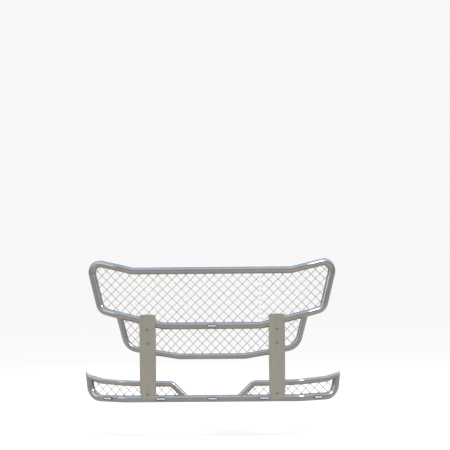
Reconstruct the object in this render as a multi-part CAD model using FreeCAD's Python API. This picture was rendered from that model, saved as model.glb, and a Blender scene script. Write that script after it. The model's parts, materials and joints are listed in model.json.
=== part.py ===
import FreeCAD, Part
import math
import os

# Front grille guard for a cab-over truck, in millimetres.
# +X is to the right as seen from the front, -Y is forwards and +Z is up.
# The origin is the centre of the chassis bolt pattern, on the brackets' rear faces.
# Heights called HEIGHT are measured up from the bottom tube's centre-line.

Vector = FreeCAD.Vector
ALONG_X = Vector(1, 0, 0)
ALONG_Y = Vector(0, 1, 0)
ALONG_Z = Vector(0, 0, 1)

# --- Place of the guard ahead of the chassis ---
TUBE_PLANE_Y = -220.0
BOTTOM_TUBE_Z = -150.0

# --- Tubes ---
MAIN_TUBE_RADIUS = 35.0
LIGHT_TUBE_RADIUS = 28.5
TUBE_WALL = 2.0
GENTLE_BEND_RADIUS = 200.0

# --- Upper hoop: flat in the middle, its wings turned back ---
UPPER_FOLD_X = 880.0
UPPER_SWEEP_ANGLE = 20.0
HOOP_TOP_HEIGHT = 1191.0
HOOP_TOP_BEND_X = 735.0
EAR_X = 1150.0
EAR_RISE = 96.0
EAR_BEND_RADIUS = 85.0
HOOP_SIDE_LEAN = 115.0
LOW_CORNER_HEIGHT = 824.0
LOW_CORNER_RADIUS = 85.0
HOOP_FLOOR_HEIGHT = 677.0
HOOP_FLOOR_BEND_X = 455.0
BUTT_WELD_DROP = 160.0

# --- Loop under the hoop ---
LOOP_FLOOR_HEIGHT = 392.0
LOOP_FLOOR_BEND_X = 307.0
LOOP_CORNER_X = 787.0
LOOP_CORNER_HEIGHT = 475.0
LOOP_CORNER_RADIUS = 140.0
LOOP_TOP_X = 866.0

# --- Lower frame, wrapped round the bumper corners ---
LOWER_FOLD_X = 820.0
LOWER_SWEEP_ANGLE = 30.0
LIGHT_BAR_HEIGHT = 139.0
LIGHT_BAR_FOOT_X = 241.0
LIGHT_BAR_BEND_X = 381.0
LIGHT_BAR_BEND_RADIUS = 60.0
LIGHT_BAR_LAST_RUN = 120.0
LIGHT_BAR_LIFT = 20.0
WING_CORNER_X = 1140.0
WING_TIP_LEAN = 20.0
WING_TIP_HEIGHT = 189.0
WING_CORNER_RADIUS = 110.0

# --- Welded wire mesh ---
WIRE_RADIUS = 2.75
WIRE_LAYER_GAP = 0.05
DIAMOND_HEIGHT = 85.6
UPPER_DIAMOND_WIDTH = 87.3
LOWER_DIAMOND_WIDTH = 83.0
MESH_JOIN_X = 448.0
MESH_JOIN_GAP = 8.0
LEFT_SHEET_CROSSING = (-22.0, 1104.0)
RIGHT_SHEET_CROSSING = (529.0, 1104.0)
LOOP_SHEET_CROSSING = (-10.0, 595.0)
OUTER_SHEET_CROSSING = (700.0, 82.0)
INNER_SHEET_CROSSING = (391.0, 82.0)
SHORTEST_WIRE = 12.0

# --- Posts ---
POST_X = 600.0
POST_WIDTH = 150.0
POST_WALL = 3.0
POST_STANDOFF = 10.0
POST_SIDE_DEPTH = 37.0
POST_OVERHANG = 35.0
POST_CROWN = 6.0
POST_EDGE_RADIUS = 8.0
POST_TAPER_HEIGHT = 57.0
POST_FOOT_HEIGHT = -6.0
POST_FOOT_WIDTH = 98.0
CAP_THICKNESS = 3.0
BACK_PLATE_THICKNESS = 6.0
BACK_PLATE_INSET = 5.0
BACK_PLATE_FOOT_GAP = 1.0
BACK_PLATE_OVERHANG = 11.0
PACKER_WIDTH = 110.0
PACKER_HEIGHT = 34.0

# --- Bolts through the posts ---
MIDDLE_BOLT_HEIGHT = 519.0
UPPER_BOLT_HEIGHT = 647.0
POST_BOLT_RADIUS = 8.0
POST_BOLT_CLEARANCE = 0.5
BOLT_HEAD_RADIUS = 15.0
BOLT_HEAD_DEPTH = 6.0
BOLT_HEAD_ROUNDING = 4.8
SPACER_WALL = 2.5
SPACER_TUBE_GAP = 1.0
POST_WASHER_RIM = 7.0
POST_WASHER_THICKNESS = 3.0
BOLT_END = 4.0
MESH_TRIM_CLEARANCE = 1.0

# --- Marker lamps ---
LAMP_LENGTH = 98.0
LAMP_HEIGHT = 29.0
LAMP_RIM = 6.5
LAMP_PROUD = 8.0
LAMP_DEPTH = 12.0
LAMP_LIP = 3.5
LENS_DOME = 2.5
LENS_DEPTH = 9.0
INNER_LAMP_X = 480.0
OUTER_LAMP_X = 963.0
GROMMET_X = -700.0
GROMMET_RADIUS = 10.0
GROMMET_HOLE_RADIUS = 7.0
GROMMET_BORE_RADIUS = 3.5
GROMMET_LENGTH = 12.0

# --- Hinge at the foot of each post ---
HINGE_TUBE_GAP = 7.0
HINGE_PIN_RADIUS = 12.0
HINGE_RUNNING_FIT = 0.05
BUSH_WALL = 8.0
BUSH_OVERHANG = 4.0
LUG_EYE_WALL = 8.0
LUG_THICKNESS = 10.0
LUG_OFFSET = 30.0
LUG_HEIGHT = 110.0
LUG_REAR_EDGE = 8.0
HEEL_LENGTH = 7.0
HEEL_FRONT = 12.0
HEEL_REAR = 10.0
PIN_HEAD_RIM = 6.0
PIN_HEAD_THICKNESS = 8.0
HINGE_WASHER_RIM = 10.0
HINGE_WASHER_THICKNESS = 3.0
PIN_END = 4.0

# --- Chassis brackets ---
BRACKET_WIDTH = 120.0
FLANGE_THICKNESS = 12.0
FLANGE_LOW_Z = -130.0
FLANGE_TOP_Z = 190.0
EAR_PLATE_THICKNESS = 10.0
EAR_SIDE_GAP = 1.0
EAR_EYE_WALL = 18.0
CHASSIS_BOLT_SPACING_Z = 100.0
CHASSIS_HOLE_RADIUS = 8.75
LOCK_PLATE_FRONT = 6.0
LOCK_PLATE_THICKNESS = 12.0
LOCK_PLATE_HEIGHT = 100.0
EAR_NOTCH_DEPTH = 60.0

# --- Locks, buffers and fold stops ---
LOCK_HEIGHT = 270.0
LOCK_SCREW_RADIUS = 10.0
LOCK_THREAD_FIT = 0.05
LOCK_SOCKET_CLEARANCE = 1.5
LOCK_SOCKET_WALL = 8.5
LOCK_SOCKET_LENGTH = 12.0
LOCK_BOSS_WALL = 8.0
LOCK_BOSS_LENGTH = 20.0
LOCK_SCREW_TAIL = 70.0
LOCK_TIP_CHAMFER = 2.5
LOCK_TEE_RADIUS = 5.0
LOCK_TEE_SIDE_GAP = 5.0
LOCK_TEE_INSET = 9.0
BUFFER_HEIGHT = 315.0
BUFFER_RADIUS = 16.0
BUFFER_GAP = 0.3
BUFFER_STUD_RADIUS = 5.0
BUFFER_STUD_LENGTH = 20.0
STOP_BOLT_RADIUS = 8.0
STOP_BOLT_REACH = 5.0
STOP_GAP = 0.3

# --- Sizes that follow from the ones above ---
UPPER_FOLD = (UPPER_FOLD_X, UPPER_SWEEP_ANGLE)
LOWER_FOLD = (LOWER_FOLD_X, LOWER_SWEEP_ANGLE)
LOW_CORNER_X = EAR_X - HOOP_SIDE_LEAN
WING_TIP_X = WING_CORNER_X + WING_TIP_LEAN
LIGHT_BAR_LIFT_X = WING_TIP_X - LIGHT_BAR_LAST_RUN
POST_FRONT_Y = TUBE_PLANE_Y - MAIN_TUBE_RADIUS - POST_STANDOFF
BACK_PLATE_FRONT_Y = TUBE_PLANE_Y + MAIN_TUBE_RADIUS
BACK_PLATE_REAR_Y = BACK_PLATE_FRONT_Y + BACK_PLATE_THICKNESS
BACK_PLATE_FOOT_HEIGHT = MAIN_TUBE_RADIUS + BACK_PLATE_FOOT_GAP
SPACER_RADIUS = POST_BOLT_RADIUS + POST_BOLT_CLEARANCE + SPACER_WALL
LOW_BOLT_HEIGHT = MAIN_TUBE_RADIUS + SPACER_RADIUS + SPACER_TUBE_GAP
POST_BOLT_HEIGHTS = (LOW_BOLT_HEIGHT, MIDDLE_BOLT_HEIGHT, UPPER_BOLT_HEIGHT)
BUSH_RADIUS = HINGE_PIN_RADIUS + BUSH_WALL
LUG_EYE_RADIUS = BUSH_RADIUS + LUG_EYE_WALL
EAR_EYE_RADIUS = HINGE_PIN_RADIUS + EAR_EYE_WALL
HEEL_DROP = LUG_EYE_RADIUS + HEEL_LENGTH
HINGE_Y = TUBE_PLANE_Y + MAIN_TUBE_RADIUS + EAR_EYE_RADIUS + HINGE_TUBE_GAP
HINGE_Z = BOTTOM_TUBE_Z
EAR_INNER_X = LUG_OFFSET + LUG_THICKNESS / 2 + BUSH_OVERHANG + EAR_SIDE_GAP
EAR_OUTER_X = EAR_INNER_X + EAR_PLATE_THICKNESS
LOCK_PLATE_FRONT_Y = HINGE_Y - LOCK_PLATE_FRONT
LOCK_PLATE_REAR_Y = LOCK_PLATE_FRONT_Y + LOCK_PLATE_THICKNESS
LOCK_TEE_LENGTH = 2 * (EAR_INNER_X - LOCK_TEE_SIDE_GAP)
STOP_BOLT_Y = HINGE_Y + LUG_EYE_RADIUS + STOP_BOLT_REACH
STOP_BOLT_Z = HINGE_Z + HEEL_REAR + STOP_BOLT_RADIUS + STOP_GAP
FAR = 3000.0


# --- Basic solids ---

def front_point(x, height, fold=UPPER_FOLD):
    """A point on the guard's front surface, whose wings turn back beyond the fold."""
    fold_x, sweep_angle = fold
    back = max(0.0, abs(x) - fold_x) * math.tan(math.radians(sweep_angle))
    return Vector(x, TUBE_PLANE_Y + back, BOTTOM_TUBE_Z + height)


def height_between(x, start, end):
    """The height at x on the straight line between two (x, height) points."""
    share = (x - start[0]) / (end[0] - start[0])
    return start[1] + share * (end[1] - start[1])


def rounded_path(points, radii):
    """Straight runs through the points, with a tangent arc at each inner point."""
    edges = []
    run_start = points[0]
    for before, corner, after, radius in zip(points, points[1:], points[2:], radii):
        incoming = (corner - before).normalize()
        outgoing = (after - corner).normalize()
        half_turn = incoming.getAngle(outgoing) / 2
        arc_start = corner - incoming * (radius * math.tan(half_turn))
        arc_end = corner + outgoing * (radius * math.tan(half_turn))
        towards_centre = (outgoing - incoming).normalize()
        arc_middle = corner + towards_centre * (radius / math.cos(half_turn) - radius)
        edges.append(Part.LineSegment(run_start, arc_start).toShape())
        edges.append(Part.Arc(arc_start, arc_middle, arc_end).toShape())
        run_start = arc_end
    edges.append(Part.LineSegment(run_start, points[-1]).toShape())
    return Part.Wire(edges)


def mirrored_stops(half):
    """A whole symmetric route, from the (x, height, radius) stops of its right half."""
    return [(-x, height, radius) for x, height, radius in reversed(half)] + half


def route(stops, fold):
    """The path of a tube through (x, height, radius) stops on the folded front surface."""
    points = [front_point(x, height, fold) for x, height, radius in stops]
    radii = [radius for x, height, radius in stops[1:-1]]
    return rounded_path(points, radii)


def whole_route(half, fold):
    """The path of a symmetric tube, from the stops of its right half."""
    return route(mirrored_stops(half), fold)


def swept_rod(path, radius):
    """A round bar along a path."""
    first = path.Edges[0]
    start = first.valueAt(first.FirstParameter)
    direction = first.tangentAt(first.FirstParameter)
    ring = Part.Wire(Part.makeCircle(radius, start, direction))
    return path.makePipeShell([ring], True, False)


def hollow(path, radius):
    """A tube along a path, with the wall that all the tubes share."""
    return swept_rod(path, radius).cut(swept_rod(path, radius - TUBE_WALL))


def rod(start, end, radius):
    return Part.makeCylinder(radius, (end - start).Length, start, end - start)


def box(low, high):
    size = high - low
    return Part.makeBox(size.x, size.y, size.z, low)


def half_space(point, normal, size):
    """A large block that covers everything near a point on one side of a plane."""
    block = Part.makeBox(size, size, size, Vector(-size / 2, -size / 2, 0))
    block.Placement = FreeCAD.Placement(point, FreeCAD.Rotation(ALONG_Z, normal))
    return block


def front_slab(outline, front_y, back_y):
    """A front-view outline, given at y = 0, made into a slab."""
    face = Part.Face(outline)
    slab = face.extrude(Vector(0, back_y - front_y, 0))
    slab.translate(Vector(0, front_y, 0))
    return slab


def nut_flats(bolt_radius):
    return 3 * bolt_radius


def nut_height(bolt_radius):
    return 1.6 * bolt_radius


def side_plate(outline, left_x, right_x):
    """A plate across X from a list of (y, z) corners."""
    corners = [Vector(left_x, y, z) for y, z in outline]
    face = Part.Face(Part.makePolygon(corners + corners[:1]))
    return face.extrude(Vector(right_x - left_x, 0, 0))


def hexagon(centre, axis, flats, height):
    """A hexagon bar that stands on a point, along an axis."""
    corner_radius = flats / math.sqrt(3)
    corners = [Vector(corner_radius * math.cos(math.radians(60 * turn)),
                      corner_radius * math.sin(math.radians(60 * turn)), 0) for turn in range(7)]
    bar = Part.Face(Part.makePolygon(corners)).extrude(Vector(0, 0, height))
    bar.Placement = FreeCAD.Placement(centre, FreeCAD.Rotation(ALONG_Z, axis))
    return bar


def hex_nut(centre, axis, bolt_radius):
    height = nut_height(bolt_radius)
    nut = hexagon(centre, axis, nut_flats(bolt_radius), height)
    return nut.cut(Part.makeCylinder(bolt_radius, height, centre, axis))


def washer(centre, axis, bolt_radius, rim, thickness):
    disc = Part.makeCylinder(bolt_radius + rim, thickness, centre, axis)
    return disc.cut(Part.makeCylinder(bolt_radius, thickness, centre, axis))


def edges_in_front_of(solid, y):
    """The edges of a solid that lie on its front face, at y."""
    return [edge for edge in solid.Edges if edge.BoundBox.YMax < y + 0.01]


def stadium(length, height, front_y, back_y):
    """A flat-sided oval bar through the origin, long in X and running along Y."""
    half_run = (length - height) / 2
    depth = back_y - front_y
    bar = Part.makeBox(2 * half_run, depth, height, Vector(-half_run, front_y, -height / 2))
    for side in (-1, 1):
        end = Part.makeCylinder(height / 2, depth, Vector(side * half_run, front_y, 0), ALONG_Y)
        bar = bar.fuse(end)
    return bar.removeSplitter()


def mirrored(shape):
    """The left-hand twin of a right-hand piece."""
    return shape.mirror(Vector(0, 0, 0), ALONG_X)


# --- Routes of the tubes ---

def hoop_floor_height(x):
    """Height of the hoop's lower tube where it crosses x, on its sloping run."""
    return height_between(x, (HOOP_FLOOR_BEND_X, HOOP_FLOOR_HEIGHT), (LOW_CORNER_X, LOW_CORNER_HEIGHT))


def post_top_height(overhang):
    return hoop_floor_height(POST_X) + MAIN_TUBE_RADIUS + overhang


def seam_stop():
    """Where the hoop's two tubes meet, on the straight side under the ear."""
    ear = Vector(EAR_X, HOOP_TOP_HEIGHT + EAR_RISE, 0)
    low = Vector(LOW_CORNER_X, LOW_CORNER_HEIGHT, 0)
    seam = ear + (low - ear).normalize() * BUTT_WELD_DROP
    return (seam.x, seam.y, 0)


def hoop_top_stops():
    bend = (HOOP_TOP_BEND_X, HOOP_TOP_HEIGHT)
    ear = (EAR_X, HOOP_TOP_HEIGHT + EAR_RISE)
    fold_height = height_between(UPPER_FOLD_X, bend, ear)
    return [(*bend, GENTLE_BEND_RADIUS),
            (UPPER_FOLD_X, fold_height, GENTLE_BEND_RADIUS),
            (*ear, EAR_BEND_RADIUS),
            seam_stop()]


def hoop_floor_stops():
    return [(HOOP_FLOOR_BEND_X, HOOP_FLOOR_HEIGHT, GENTLE_BEND_RADIUS),
            (UPPER_FOLD_X, hoop_floor_height(UPPER_FOLD_X), GENTLE_BEND_RADIUS),
            (LOW_CORNER_X, LOW_CORNER_HEIGHT, LOW_CORNER_RADIUS),
            seam_stop()]


def loop_stops():
    return [(LOOP_FLOOR_BEND_X, LOOP_FLOOR_HEIGHT, GENTLE_BEND_RADIUS),
            (LOOP_CORNER_X, LOOP_CORNER_HEIGHT, LOOP_CORNER_RADIUS),
            (LOOP_TOP_X, hoop_floor_height(LOOP_TOP_X), 0)]


def bottom_stops():
    return [(LOWER_FOLD_X, 0, GENTLE_BEND_RADIUS),
            (WING_CORNER_X, 0, WING_CORNER_RADIUS),
            (WING_TIP_X, WING_TIP_HEIGHT, 0)]


def light_bar_stops():
    post = (POST_X, LIGHT_BAR_HEIGHT)
    lift = (LIGHT_BAR_LIFT_X, LIGHT_BAR_HEIGHT + LIGHT_BAR_LIFT)
    fold_height = height_between(LOWER_FOLD_X, post, lift)
    return [(LIGHT_BAR_FOOT_X, 0, 0),
            (LIGHT_BAR_BEND_X, LIGHT_BAR_HEIGHT, LIGHT_BAR_BEND_RADIUS),
            (*post, GENTLE_BEND_RADIUS),
            (LOWER_FOLD_X, fold_height, GENTLE_BEND_RADIUS),
            (*lift, GENTLE_BEND_RADIUS),
            (WING_TIP_X, WING_TIP_HEIGHT, 0)]


def extended(stops):
    """The same route with its last run carried on past the end, ready for a mitre."""
    last_x, last_height, radius = stops[-1]
    before_x, before_height, before_radius = stops[-2]
    run = math.hypot(last_x - before_x, last_height - before_height)
    share = 1 + 4 * MAIN_TUBE_RADIUS / run
    end = (before_x + share * (last_x - before_x),
           before_height + share * (last_height - before_height), radius)
    return stops[:-1] + [end]


def run_direction(stops, fold):
    before = front_point(stops[-2][0], stops[-2][1], fold)
    end = front_point(stops[-1][0], stops[-1][1], fold)
    return (end - before).normalize()


def mitre_block(keep_stops, other_stops, inset=0.0):
    """What a mitre at the wing tip takes off the tube that comes along keep_stops."""
    tip = front_point(WING_TIP_X, WING_TIP_HEIGHT, LOWER_FOLD)
    keep = run_direction(keep_stops, LOWER_FOLD)
    other = run_direction(other_stops, LOWER_FOLD)
    outward = (keep - other).normalize()
    return half_space(tip - outward * inset, outward, 8 * MAIN_TUBE_RADIUS)


# --- Marker lamps, modelled on a tube along X through the origin ---

def lamp_hole():
    length = LAMP_LENGTH - 2 * LAMP_LIP
    height = LAMP_HEIGHT - 2 * LAMP_LIP
    return stadium(length, height, -2 * MAIN_TUBE_RADIUS, 0)


def lamp_pocket(front_y, back_y):
    length = LAMP_LENGTH - 2 * LAMP_RIM
    height = LAMP_HEIGHT - 2 * LAMP_RIM
    return stadium(length, height, front_y, back_y)


def lamp_gasket():
    """A rubber rim that grips the edge of the hole in the tube wall."""
    front_y = -MAIN_TUBE_RADIUS - LAMP_PROUD
    back_y = -MAIN_TUBE_RADIUS + LAMP_DEPTH
    rim = stadium(LAMP_LENGTH, LAMP_HEIGHT, front_y, back_y)
    start = Vector(-LAMP_LENGTH, 0, 0)
    end = Vector(LAMP_LENGTH, 0, 0)
    wall = rod(start, end, MAIN_TUBE_RADIUS).cut(rod(start, end, MAIN_TUBE_RADIUS - TUBE_WALL))
    rim = rim.cut(wall.cut(lamp_hole()))
    return rim.cut(lamp_pocket(front_y, back_y))


def lamp_lens():
    front_y = -MAIN_TUBE_RADIUS - LAMP_PROUD - LENS_DOME
    lens = lamp_pocket(front_y, front_y + LENS_DEPTH)
    return lens.makeFillet(LENS_DOME, edges_in_front_of(lens, front_y))


def lamp_body():
    lens_back_y = -MAIN_TUBE_RADIUS - LAMP_PROUD - LENS_DOME + LENS_DEPTH
    return lamp_pocket(lens_back_y, -MAIN_TUBE_RADIUS + LAMP_DEPTH)


def lamp_placement(x, height, fold):
    fold_x, sweep_angle = fold
    turn = math.copysign(sweep_angle, x) if abs(x) > fold_x else 0.0
    return FreeCAD.Placement(front_point(x, height, fold), FreeCAD.Rotation(ALONG_Z, turn))


def placed(shape, placement):
    copy = shape.copy()
    copy.Placement = placement
    return copy


LAMPS = {
    "hoop": lamp_placement(0, HOOP_FLOOR_HEIGHT, UPPER_FOLD),
    "centre": lamp_placement(0, 0, LOWER_FOLD),
    "inner_right": lamp_placement(INNER_LAMP_X, 0, LOWER_FOLD),
    "inner_left": lamp_placement(-INNER_LAMP_X, 0, LOWER_FOLD),
    "outer_right": lamp_placement(OUTER_LAMP_X, 0, LOWER_FOLD),
    "outer_left": lamp_placement(-OUTER_LAMP_X, 0, LOWER_FOLD),
}


def lamp_pieces():
    pieces = {}
    for name, placement in LAMPS.items():
        pieces["marker_gasket_" + name] = placed(lamp_gasket(), placement)
        pieces["marker_lens_" + name] = placed(lamp_lens(), placement)
    bodies = [placed(lamp_body(), placement) for placement in LAMPS.values()]
    pieces["marker_lamp_bodies"] = Part.Compound(bodies)
    return pieces


def grommet_centre():
    return Vector(GROMMET_X, TUBE_PLANE_Y + MAIN_TUBE_RADIUS, BOTTOM_TUBE_Z)


def cable_grommet():
    """The rubber ring where the lamp lead leaves the back of the bottom tube."""
    start = grommet_centre() - Vector(0, GROMMET_LENGTH / 2, 0)
    end = grommet_centre() + Vector(0, GROMMET_LENGTH / 2, 0)
    ring = rod(start, end, GROMMET_RADIUS)
    tube_start = Vector(GROMMET_X - 2 * GROMMET_RADIUS, TUBE_PLANE_Y, BOTTOM_TUBE_Z)
    tube_end = Vector(GROMMET_X + 2 * GROMMET_RADIUS, TUBE_PLANE_Y, BOTTOM_TUBE_Z)
    wall = rod(tube_start, tube_end, MAIN_TUBE_RADIUS)
    wall = wall.cut(rod(tube_start, tube_end, MAIN_TUBE_RADIUS - TUBE_WALL))
    ring = ring.cut(wall.cut(grommet_hole()))
    return ring.cut(rod(start, end, GROMMET_BORE_RADIUS))


def grommet_hole():
    start = grommet_centre() - Vector(0, GROMMET_LENGTH, 0)
    end = grommet_centre() + Vector(0, GROMMET_LENGTH, 0)
    return rod(start, end, GROMMET_HOLE_RADIUS)


# --- Tubes ---

def tube_solids():
    """The full round bars that other pieces are trimmed against, by tube."""
    return {
        "hoop_top": swept_rod(whole_route(hoop_top_stops(), UPPER_FOLD), MAIN_TUBE_RADIUS),
        "hoop_floor": swept_rod(whole_route(hoop_floor_stops(), UPPER_FOLD), MAIN_TUBE_RADIUS),
        "loop": swept_rod(whole_route(loop_stops(), UPPER_FOLD), LIGHT_TUBE_RADIUS),
        "bottom": swept_rod(whole_route(bottom_stops(), LOWER_FOLD), MAIN_TUBE_RADIUS),
        "light_bar": swept_rod(route(light_bar_stops(), LOWER_FOLD), LIGHT_TUBE_RADIUS),
    }


def hoop_pieces():
    top = hollow(whole_route(hoop_top_stops(), UPPER_FOLD), MAIN_TUBE_RADIUS)
    floor = hollow(whole_route(hoop_floor_stops(), UPPER_FOLD), MAIN_TUBE_RADIUS)
    floor = floor.cut(placed(lamp_hole(), LAMPS["hoop"]))
    return {"hoop_top_tube": top, "hoop_bottom_tube": floor}


def loop_tube(solids):
    loop = hollow(whole_route(loop_stops(), UPPER_FOLD), LIGHT_TUBE_RADIUS)
    return loop.cut(solids["hoop_floor"])


def wing_end_plate():
    """A plate welded flush into the mitred end, which the thinner light bar lands on."""
    outside = swept_rod(route(extended(bottom_stops()), LOWER_FOLD), MAIN_TUBE_RADIUS)
    beyond_mitre = mitre_block(bottom_stops(), light_bar_stops())
    beyond_plate = mitre_block(bottom_stops(), light_bar_stops(), TUBE_WALL)
    return outside.common(beyond_plate).cut(beyond_mitre)


def bottom_tube():
    tube = hollow(whole_route(extended(bottom_stops()), LOWER_FOLD), MAIN_TUBE_RADIUS)
    mitre = mitre_block(bottom_stops(), light_bar_stops())
    end_plate = wing_end_plate()
    tube = tube.cut(mitre).cut(mirrored(mitre))
    tube = tube.fuse([end_plate, mirrored(end_plate)]).removeSplitter().cut(grommet_hole())
    for name, placement in LAMPS.items():
        if name != "hoop":
            tube = tube.cut(placed(lamp_hole(), placement))
    return tube


def light_bar_tube(solids):
    tube = hollow(route(extended(light_bar_stops()), LOWER_FOLD), LIGHT_TUBE_RADIUS)
    tube = tube.cut(mitre_block(light_bar_stops(), bottom_stops()))
    foot_trim = rod(Vector(0, TUBE_PLANE_Y, BOTTOM_TUBE_Z),
                    Vector(LIGHT_BAR_BEND_X, TUBE_PLANE_Y, BOTTOM_TUBE_Z), MAIN_TUBE_RADIUS)
    return tube.cut(foot_trim)


# --- Wire mesh ---

def sheet_zone(stops, low_x, high_x):
    """The slab inside a closed front-view outline, between two x limits."""
    points = [Vector(x, 0, BOTTOM_TUBE_Z + height) for x, height, radius in stops]
    middle = (points[0] + points[-1]) * 0.5
    outline = rounded_path([middle] + points + [middle], [radius for x, height, radius in stops])
    slab = front_slab(outline, TUBE_PLANE_Y - FAR / 2, TUBE_PLANE_Y + FAR / 2)
    limits = box(Vector(low_x, -FAR, -FAR), Vector(high_x, FAR, FAR))
    return slab.common(limits)


def wire_segment(line, fold, low_x, high_x, layer):
    """One straight wire of a sheet that leans by layer = +1 or -1, over an x range."""
    through_x, through_height, slope = line
    ends = [(x, through_height + slope * (x - through_x)) for x in (low_x, high_x)]
    start, end = [front_point(x, height, fold) for x, height in ends]
    fold_x, sweep_angle = fold
    middle_x = (low_x + high_x) / 2
    turn = math.copysign(math.radians(sweep_angle), middle_x) if abs(middle_x) > fold_x else 0.0
    facing = Vector(-math.sin(turn), math.cos(turn), 0)
    aside = facing * (layer * (WIRE_RADIUS + WIRE_LAYER_GAP / 2))
    along = (end - start).normalize() * (2 * WIRE_RADIUS)
    return rod(start + aside - along, end + aside + along, WIRE_RADIUS)


def mesh_sheet(stops, x_limits, fold, crossing, diamond_width, trims):
    """Two layers of straight wires over an outline, cut to length where they meet the tubes."""
    fold_x = fold[0]
    folds = [x for x in (-fold_x, fold_x) if x_limits[0] < x < x_limits[1]]
    cuts = [x_limits[0]] + folds + [x_limits[1]]
    wires = []
    for low_x, high_x in zip(cuts, cuts[1:]):
        zone = sheet_zone(stops, low_x, high_x)
        bounds = zone.BoundBox
        reach = bounds.XLength + bounds.ZLength * diamond_width / DIAMOND_HEIGHT
        count = int(reach / diamond_width) + 2
        for layer in (-1, 1):
            slope = layer * DIAMOND_HEIGHT / diamond_width
            nearest = round((bounds.Center.x - crossing[0]) / diamond_width)
            for step in range(nearest - count, nearest + count + 1):
                line = (crossing[0] + step * diamond_width, crossing[1], slope)
                wire = wire_segment(line, fold, low_x, high_x, layer)
                if not wire.BoundBox.intersect(bounds):
                    continue
                wires += trimmed_wires(wire, zone, trims)
    return Part.Compound(wires)


def trimmed_wires(wire, zone, trims):
    inside = wire.common(zone)
    for trim in trims:
        if inside.Solids and inside.BoundBox.intersect(trim.BoundBox):
            inside = inside.cut(trim)
    least_volume = math.pi * WIRE_RADIUS ** 2 * SHORTEST_WIRE
    return [solid for solid in inside.Solids if solid.Volume > least_volume]


def mesh_pieces(solids):
    hoop_floor = [(HOOP_FLOOR_BEND_X, HOOP_FLOOR_HEIGHT, GENTLE_BEND_RADIUS)]
    ear_side = [(HOOP_TOP_BEND_X, HOOP_TOP_HEIGHT, GENTLE_BEND_RADIUS),
                (EAR_X, HOOP_TOP_HEIGHT + EAR_RISE, EAR_BEND_RADIUS),
                (LOW_CORNER_X, LOW_CORNER_HEIGHT, LOW_CORNER_RADIUS)]
    hoop_stops = mirrored_stops(ear_side + hoop_floor)
    loop_top = loop_stops()[-1]
    loop_outline = mirrored_stops(hoop_floor + [loop_top[:2] + (WIRE_RADIUS,)] + loop_stops()[1::-1])
    foot, bend, post, fold, lift, tip = light_bar_stops()
    lower_outline = [foot[:2] + (WIRE_RADIUS,), bend, post, lift, tip[:2] + (WIRE_RADIUS,),
                     (WING_CORNER_X, 0, WING_CORNER_RADIUS)]
    bolt_trims = []
    for side in (-1, 1):
        for height in POST_BOLT_HEIGHTS:
            start, end = bolt_span(side * POST_X, height)
            bolt_trims.append(rod(start, end, SPACER_RADIUS + MESH_TRIM_CLEARANCE))
    hoop_trims = [solids["hoop_top"], solids["hoop_floor"]] + bolt_trims
    loop_trims = [solids["hoop_floor"], solids["loop"]] + bolt_trims
    lower_trims = [solids["bottom"], solids["light_bar"]] + bolt_trims
    join_left = MESH_JOIN_X - MESH_JOIN_GAP / 2
    join_right = MESH_JOIN_X + MESH_JOIN_GAP / 2
    inner_limits = (LIGHT_BAR_FOOT_X, POST_X - SPACER_RADIUS)
    outer_limits = (POST_X + SPACER_RADIUS, WING_TIP_X + WING_CORNER_RADIUS)
    inner = mesh_sheet(lower_outline, inner_limits, LOWER_FOLD,
                       INNER_SHEET_CROSSING, LOWER_DIAMOND_WIDTH, lower_trims)
    outer = mesh_sheet(lower_outline, outer_limits, LOWER_FOLD,
                       OUTER_SHEET_CROSSING, LOWER_DIAMOND_WIDTH, lower_trims)
    return {
        "upper_mesh_left": mesh_sheet(hoop_stops, (-EAR_X, join_left), UPPER_FOLD,
                                      LEFT_SHEET_CROSSING, UPPER_DIAMOND_WIDTH, hoop_trims),
        "upper_mesh_right": mesh_sheet(hoop_stops, (join_right, EAR_X), UPPER_FOLD,
                                       RIGHT_SHEET_CROSSING, UPPER_DIAMOND_WIDTH, hoop_trims),
        "loop_mesh": mesh_sheet(loop_outline, (-LOOP_TOP_X, LOOP_TOP_X), UPPER_FOLD,
                                LOOP_SHEET_CROSSING, LOWER_DIAMOND_WIDTH, loop_trims),
        "lower_mesh_inner_right": inner,
        "lower_mesh_inner_left": mirrored(inner),
        "lower_mesh_outer_right": outer,
        "lower_mesh_outer_left": mirrored(outer),
    }


# --- Posts, right-hand side ---

def bolt_span(x, height):
    """From the front face of the post to the rear face of its back plate."""
    z = BOTTOM_TUBE_Z + height
    return Vector(x, POST_FRONT_Y, z), Vector(x, BACK_PLATE_REAR_Y, z)


def post_block(inset, top_height, front_y):
    """The post's outline, drawn in by a wall, as a block with softened front edges."""
    half = POST_WIDTH / 2 - inset
    foot = POST_FOOT_WIDTH / 2 - inset
    foot_z = BOTTOM_TUBE_Z + POST_FOOT_HEIGHT + inset
    taper_z = BOTTOM_TUBE_Z + POST_TAPER_HEIGHT
    top_z = BOTTOM_TUBE_Z + top_height
    corners = [(half, top_z - POST_CROWN), (half, taper_z), (foot, foot_z),
               (-foot, foot_z), (-half, taper_z), (-half, top_z - POST_CROWN)]
    points = [Vector(POST_X + x, 0, z) for x, z in corners]
    crown = Part.Arc(points[-1], Vector(POST_X, 0, top_z), points[0]).toShape()
    outline = Part.Wire(Part.makePolygon(points).Edges + [crown])
    block = front_slab(outline, front_y, POST_FRONT_Y + POST_SIDE_DEPTH)
    softened = [edge for edge in edges_in_front_of(block, front_y)
                if edge.BoundBox.ZLength > edge.BoundBox.XLength]
    return block.makeFillet(POST_EDGE_RADIUS - inset, softened)


def post_bolt_holes():
    reach = Vector(0, BOLT_HEAD_DEPTH, 0)
    holes = []
    for height in POST_BOLT_HEIGHTS:
        start, end = bolt_span(POST_X, height)
        holes.append(rod(start - reach, end + reach, POST_BOLT_RADIUS + POST_BOLT_CLEARANCE))
    return holes


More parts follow.
